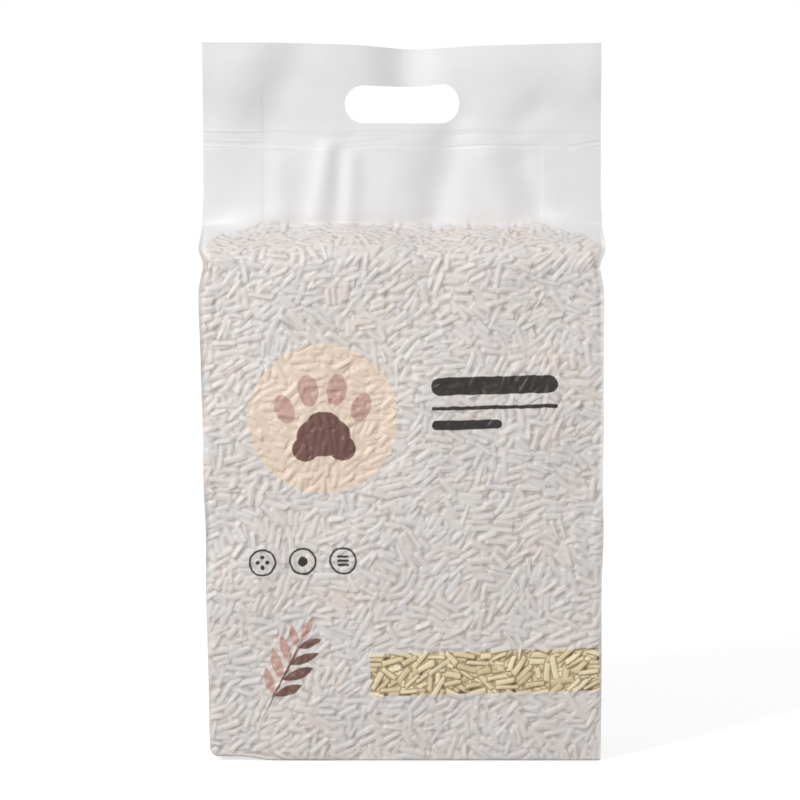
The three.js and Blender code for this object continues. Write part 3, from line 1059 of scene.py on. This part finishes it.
def plain_film(sizes):
    """White laminate, vacuum drawn: satin, off-white, warmer where straw litter backs it, shade
    painted between pellets.
    """
    material, tree, shader = new_material("Laminate film, vacuum drawn")
    coordinates = add_node(tree, "TexCoord", None, "Object")
    _, _, line, flank = pellet_edges(tree, coordinates)
    surface = film_surface(tree, sizes.colours, coordinates, line)
    finish_film(tree, shader, coordinates, surface, flank)
    return material


def header_film(sizes):
    """White laminate, heat sealed: cool white satin film that nothing shows through."""
    material, tree, shader = new_material("Laminate film, heat sealed")
    coordinates = add_node(tree, "TexCoord", None, "Object")
    finish_film(tree, shader, coordinates, flat_film(tree, sizes.colours, coordinates))
    return material


class Plate:
    """Shapes that a print is made of, on flattened coordinates: each is 1 inside and 0 outside."""

    def __init__(self, tree, paper, edge):
        self.tree = tree
        self.paper = paper
        self.edge = edge

    def ellipse(self, x, z, half_length, half_width, turn=0.0):
        """An ellipse whose long axis is turned up from the horizontal."""
        tree = self.tree
        inputs = {
            "Vector": self.paper,
            "Location": (x, 0, z),
            "Rotation": (0, -turn, 0),
            "Scale": (half_length, 1, half_width),
        }
        local = add_node(tree, "Mapping", inputs, vector_type="TEXTURE")
        reach = add_node(tree, "VectorMath", {0: local}, "Value", operation="LENGTH")
        soft = self.edge / half_width
        return add_node(tree, "MapRange", {0: reach, 1: 1 - soft, 2: 1 + soft, 3: 1, 4: 0})

    def disc(self, x, z, radius):
        """A round field."""
        return self.ellipse(x, z, radius, radius)

    def bar(self, x, z, half_length, half_width, corner=None):
        """A level bar with round corners, or round ends where no corner radius is given."""
        tree, corner = self.tree, corner or half_width
        straight = (half_length - corner, 0, half_width - corner)
        beyond = self.paper
        for operation, other in (
            ("SUBTRACT", (x, 0, z)),
            ("ABSOLUTE", (0, 0, 0)),
            ("SUBTRACT", straight),
            ("MAXIMUM", (0, 0, 0)),
        ):
            beyond = add_node(tree, "VectorMath", {0: beyond, 1: other}, operation=operation)
        reach = add_node(tree, "VectorMath", {0: beyond}, "Value", operation="LENGTH")
        low, high = corner - self.edge, corner + self.edge
        return add_node(tree, "MapRange", {0: reach, 1: low, 2: high, 3: 1, 4: 0})

    def leaf(self, foot, size, turn):
        """A pointed leaf: where two discs meet."""
        half = size / 2
        belly = 0.3 * half
        radius = (half**2 + belly**2) / (2 * belly)
        along = np.array([math.cos(turn), math.sin(turn)])
        aside = (radius - belly) * np.array([-math.sin(turn), math.cos(turn)])
        middle = foot + half * along
        first, second = (self.disc(*(middle + sign * aside), radius) for sign in (1, -1))
        return add_node(self.tree, "Math", {0: first, 1: second}, operation="MINIMUM")


# The paw in shares of its size: across, up, half length, half width, and turn
PAW_PAD = (
    (0, -0.16, 0.27, 0.2, 0),
    (-0.17, -0.27, 0.15, 0.13, 0.5),
    (0.17, -0.27, 0.15, 0.13, -0.5),
    (0, -0.04, 0.17, 0.13, 0),
)
PAW_TOES = (
    (-0.14, 0.3, 0.16, 0.1, math.pi / 2 + 0.12),
    (-0.38, 0.12, 0.15, 0.095, math.pi / 2 + 0.4),
    (0.14, 0.3, 0.16, 0.1, math.pi / 2 - 0.12),
    (0.38, 0.12, 0.15, 0.095, math.pi / 2 - 0.4),
)
RING_LINE = 1.3 * MM
# The sprig: its lean, its stem's length and half width, its leaves and how far they stand off.
STEM_LEAN = math.radians(62)
STEM_LENGTH = 50 * MM
STEM_HALF_WIDTH = 0.7 * MM
LEAF_SIZES = (19 * MM, 21 * MM, 19 * MM, 16 * MM)
TIP_LEAF = 17 * MM
LEAF_TURN = 0.75
# The title bars: drop from the first, share of the length, and thickness
TITLE_BARS = ((0, 1, 11 * MM), (13.5 * MM, 1, 2.4 * MM), (24 * MM, 0.55, 6 * MM))


def paw_print(plate, x, z, size):
    """The soft pad of a paw, and its four toes."""
    parts = []
    for group in (PAW_PAD, PAW_TOES):
        ellipses = [
            plate.ellipse(x + size * across, z + size * up, size * half, size * width, turn)
            for across, up, half, width, turn in group
        ]
        parts.append(joined(plate.tree, ellipses))
    return parts


def ring_marks(plate, printing):
    """A row of rings, with four spots, a dot and three bars inside."""
    z = printing.rings_z
    outer = printing.ring_diameter / 2
    inner = outer - RING_LINE
    places = [printing.rings_x + i * printing.ring_spacing for i in range(3)]
    first, second, third = places
    marks = []
    for x in places:
        discs = {0: plate.disc(x, z, outer), 1: plate.disc(x, z, inner)}
        marks.append(add_node(plate.tree, "Math", discs, operation="SUBTRACT"))
    spacing = 0.42 * inner
    for around in np.arange(4) * math.tau / 4:
        spot_x, spot_z = first + spacing * math.cos(around), z + spacing * math.sin(around)
        marks.append(plate.disc(spot_x, spot_z, 0.18 * inner))
    marks.append(plate.disc(second, z, 0.42 * inner))
    for level in (-1, 0, 1):
        marks.append(plate.bar(third, z + level * 0.36 * inner, 0.5 * inner, 0.11 * inner))
    return joined(plate.tree, marks)


def leaf_sprig(plate, printing):
    """A leaning stem with leaves on both sides: the light ones and the dark ones."""
    root = np.array([printing.sprig_x, printing.sprig_z])
    stem = STEM_LENGTH * np.array([math.cos(STEM_LEAN), math.sin(STEM_LEAN)])
    light = []
    dark = [plate.ellipse(*(root + stem / 2), STEM_LENGTH / 2, STEM_HALF_WIDTH, STEM_LEAN)]
    for pair, size in enumerate(LEAF_SIZES):
        foot = root + (0.2 + 0.22 * pair) * stem
        light.append(plate.leaf(foot, size, STEM_LEAN + LEAF_TURN))
        dark.append(plate.leaf(foot, size, STEM_LEAN - LEAF_TURN))
    light.append(plate.leaf(root + 0.95 * stem, TIP_LEAF, STEM_LEAN))
    return joined(plate.tree, light), joined(plate.tree, dark)


def title_bars(plate, printing):
    """A thick bar over a long thin one and a short one, all from the same left end."""
    bars = []
    for drop, share, thickness in TITLE_BARS:
        half = share * printing.title_length / 2
        middle = printing.title_x + half
        bars.append(plate.bar(middle, printing.title_z - drop, half, thickness / 2))
    return joined(plate.tree, bars)


def clear_strip(plate, printing):
    """The clear strip low on the front."""
    half_length = (printing.strip_right - printing.strip_left) / 2
    half_width = (printing.strip_high - printing.strip_low) / 2
    x, z = printing.strip_left + half_length, printing.strip_low + half_width
    return plate.bar(x, z, half_length, half_width, printing.strip_corner)


def strip_litter(tree, colours, outline, flanks):
    """Colour of the litter behind clear film: straw pellets with painted shade on their flanks,
    edges and gaps.
    """
    names = ("tone", "gap")
    tone, gap = (add_node(tree, "Attribute", None, "Fac", attribute_name=name) for name in names)
    litter = tinted(tree, opaque(colours.straw), colours.husk, tone, 0, 1, 0.8)
    # Painted shade: the round flanks and the edges of each pellet darken towards its outline.
    litter = tinted(tree, litter, colours.strip_edge_shade, flanks, 0, 1, 0.42)
    litter = tinted(tree, litter, colours.strip_edge_shade, outline, 0, 1, 0.55)
    # Painted shadow in the gaps between pellets.
    return tinted(tree, litter, colours.shade, gap, 0.3, 0.75, 0.95)


def print_paper(tree, coordinates, skew):
    """Coordinates of the print, turned on the bag and flattened."""
    # The print goes in and out with the film, so its edges waver by about 0.3 mm over 6 mm.
    waves = {"Vector": coordinates, "Scale": 1 / (6 * MM), "Detail": 1}
    noise = add_node(tree, "TexNoise", waves, "Color")
    spread = {0: noise, 1: [1.4 * MM] * 3, 2: [-0.7 * MM] * 3}
    waver = add_node(tree, "VectorMath", spread, operation="MULTIPLY_ADD")
    wavy = add_node(tree, "VectorMath", {0: coordinates, 1: waver}, operation="ADD")
    turned = add_node(tree, "Mapping", {"Vector": wavy, "Rotation": (0, skew, 0)})
    return add_node(tree, "VectorMath", {0: turned, 1: (1, 0, 1)}, operation="MULTIPLY")


def printed_film(sizes):
    """Printed laminate, vacuum drawn: the same film with fields of ink and a clear strip."""
    colours, printing = sizes.colours, sizes.printing
    material, tree, shader = new_material("Printed laminate film, vacuum drawn")
    coordinates = add_node(tree, "TexCoord", None, "Object")
    outline, flanks, line, flank = pellet_edges(tree, coordinates)
    surface = film_surface(tree, colours, coordinates, line)
    plate = Plate(tree, print_paper(tree, coordinates, printing.skew), printing.edge)
    strip = clear_strip(plate, printing)
    radius = printing.badge_radius
    badge_x, badge_z = printing.badge_x, printing.badge_z
    pad, toes = paw_print(plate, badge_x, badge_z - 0.02 * radius, 1.35 * radius)
    light_leaves, dark_leaves = leaf_sprig(plate, printing)
    for mask, ink in (
        (strip, strip_litter(tree, colours, outline, flanks)),
        (plate.disc(badge_x, badge_z, radius), opaque(colours.cream)),
        (pad, opaque(colours.umber)),
        (toes, opaque(colours.rose)),
        (light_leaves, opaque(colours.rose)),
        (dark_leaves, opaque(colours.umber)),
        (title_bars(plate, printing), opaque(colours.ink)),
        (ring_marks(plate, printing), opaque(colours.ink)),
    ):
        surface = add_node(tree, "Mix", {0: mask, 6: surface, 7: ink}, 2, data_type="RGBA")
    # Behind the clear strip the pellets show their full round backs.
    backs = add_node(tree, "Math", {0: flanks, 1: strip}, operation="MULTIPLY")
    height = add_node(tree, "Math", {0: flank, 1: backs}, operation="SUBTRACT")
    finish_film(tree, shader, coordinates, surface, height)
    return material


def seen_directly(tree):
    """1 for light that reaches the camera straight, in a reflection or through something clear."""
    rays = ("Is Camera Ray", "Is Glossy Ray", "Is Transmission Ray")
    return joined(tree, [add_node(tree, "LightPath", None, ray) for ray in rays])


def floor_paper(stage):
    """Matt backdrop paper: no gloss, and white to the camera wherever no shadow falls."""
    material, tree, shader = new_material("Backdrop paper, matt")
    shader.inputs["Base Color"].default_value = opaque(stage.floor)
    shader.inputs["Roughness"].default_value = 0.95
    shader.inputs["Specular IOR Level"].default_value = 0
    shader.inputs["Emission Color"].default_value = (1, 1, 1, 1)
    seen = seen_directly(tree)
    lift = add_node(tree, "Math", {0: seen, 1: stage.floor_white}, operation="MULTIPLY")
    tree.links.new(lift, shader.inputs["Emission Strength"])
    return material


# Stage

# Directions from the bag to its lamps
KEY_DIRECTION = (-0.57, -0.67, 0.47)
FILL_DIRECTION = (0.62, 0.75, 0.12)


def add_soft_box(name, target, direction, distance, size, strength):
    """A square lamp that gives a face at the target, turned to it, that much light."""
    light = bpy.data.lights.new(name, "AREA")
    light.size = size
    light.energy = strength * (math.pi * distance) ** 2
    lamp = bpy.data.objects.new(name, light)
    towards = Vector(direction).normalized()
    lamp.location = target + distance * towards
    lamp.rotation_euler = (-towards).to_track_quat("-Z", "Y").to_euler()
    bpy.context.scene.collection.objects.link(lamp)


def build_stage(sizes):
    """A pale floor, even light with two soft lamps, and the camera."""
    stage = sizes.stage
    scene = bpy.context.scene
    scene.view_settings.view_transform = "Standard"
    bm = bmesh.new()
    bmesh.ops.create_grid(bm, x_segments=4, y_segments=4, size=stage.floor_reach)
    mesh = bpy.data.meshes.new("floor")
    bm.to_mesh(mesh)
    bm.free()
    mesh.materials.append(floor_paper(stage))
    floor = bpy.data.objects.new("floor", mesh)
    scene.collection.objects.link(floor)

    world = bpy.data.worlds.new("Studio")
    scene.world = world
    world.use_nodes = True
    tree = world.node_tree
    background = tree.nodes["Background"]
    background.inputs["Color"].default_value = (1, 1, 1, 1)
    seen = seen_directly(tree)
    strength = add_node(tree, "MapRange", {0: seen, 1: 0, 2: 1, 3: stage.sky, 4: 1})
    tree.links.new(strength, background.inputs["Strength"])

    aim = Vector((-stage.aside, 0, stage.aim))
    distance, size = stage.key_distance, stage.key_size
    add_soft_box("key", aim, KEY_DIRECTION, distance, size, stage.key)
    # The fill lamp stands low behind the bag, so that its back isn't left in the dark.
    add_soft_box("fill", aim, FILL_DIRECTION, distance, 2 * size, stage.fill)

    camera = bpy.data.objects.new("camera", bpy.data.cameras.new("camera"))
    camera.data.lens = stage.lens
    back = Vector((0, -math.cos(stage.elevation), math.sin(stage.elevation)))
    camera.location = aim + stage.distance * back
    camera.rotation_euler = (-back).to_track_quat("-Z", "Y").to_euler()
    scene.collection.objects.link(camera)
    scene.camera = camera


# Add-on


class LitterBagSizes(PropertyGroup):
    """All that a user would change."""

    bag: PointerProperty(type=BagSizes)
    header: PointerProperty(type=HeaderSizes)
    pellets: PointerProperty(type=PelletSizes)
    colours: PointerProperty(type=FilmColours)
    printing: PointerProperty(type=PrintSizes)
    stage: PointerProperty(type=StageSizes)


class LITTERBAG_OT_front(Operator):
    """Build the printed front film"""

    bl_idname = "litterbag.front"
    bl_label = "Front film"

    def execute(self, context):
        build_front(context.scene.litter_bag)
        return {"FINISHED"}


class LITTERBAG_OT_back(Operator):
    """Build the back film and both gussets"""

    bl_idname = "litterbag.back"
    bl_label = "Back and gussets"

    def execute(self, context):
        build_back(context.scene.litter_bag)
        return {"FINISHED"}


class LITTERBAG_OT_foot(Operator):
    """Build the folded foot"""

    bl_idname = "litterbag.foot"
    bl_label = "Folded foot"

    def execute(self, context):
        build_foot(context.scene.litter_bag)
        return {"FINISHED"}


class LITTERBAG_OT_header(Operator):
    """Build the sealed header with its hand slot"""

    bl_idname = "litterbag.header"
    bl_label = "Sealed header"

    def execute(self, context):
        build_header(context.scene.litter_bag)
        return {"FINISHED"}


class LITTERBAG_OT_stage(Operator):
    """Set up floor, light and camera"""

    bl_idname = "litterbag.stage"
    bl_label = "Stage"

    def execute(self, context):
        build_stage(context.scene.litter_bag)
        return {"FINISHED"}


class LITTERBAG_PT_panel(Panel):
    """Lists the sizes and the steps that build the bag"""

    bl_label = "Litter Bag"
    bl_space_type = "VIEW_3D"
    bl_region_type = "UI"
    bl_category = "Litter Bag"

    def draw(self, context):
        for group in LitterBagSizes.__annotations__:
            box = self.layout.box()
            sizes = getattr(context.scene.litter_bag, group)
            for name in sizes.__annotations__:
                box.prop(sizes, name)
        for operator in OPERATORS:
            self.layout.operator(operator.bl_idname)


GROUPS = (BagSizes, HeaderSizes, PelletSizes, FilmColours, PrintSizes, StageSizes, LitterBagSizes)
OPERATORS = (
    LITTERBAG_OT_front,
    LITTERBAG_OT_back,
    LITTERBAG_OT_foot,
    LITTERBAG_OT_header,
    LITTERBAG_OT_stage,
)
CLASSES = (*GROUPS, *OPERATORS, LITTERBAG_PT_panel)


def register():
    for cls in CLASSES:
        bpy.utils.register_class(cls)
    bpy.types.Scene.litter_bag = PointerProperty(type=LitterBagSizes)


def unregister():
    del bpy.types.Scene.litter_bag
    for cls in reversed(CLASSES):
        bpy.utils.unregister_class(cls)


def main():
    register()
    bpy.ops.litterbag.front()
    bpy.ops.litterbag.back()
    bpy.ops.litterbag.foot()
    bpy.ops.litterbag.header()
    bpy.ops.litterbag.stage()


if __name__ == "__main__":
    main()
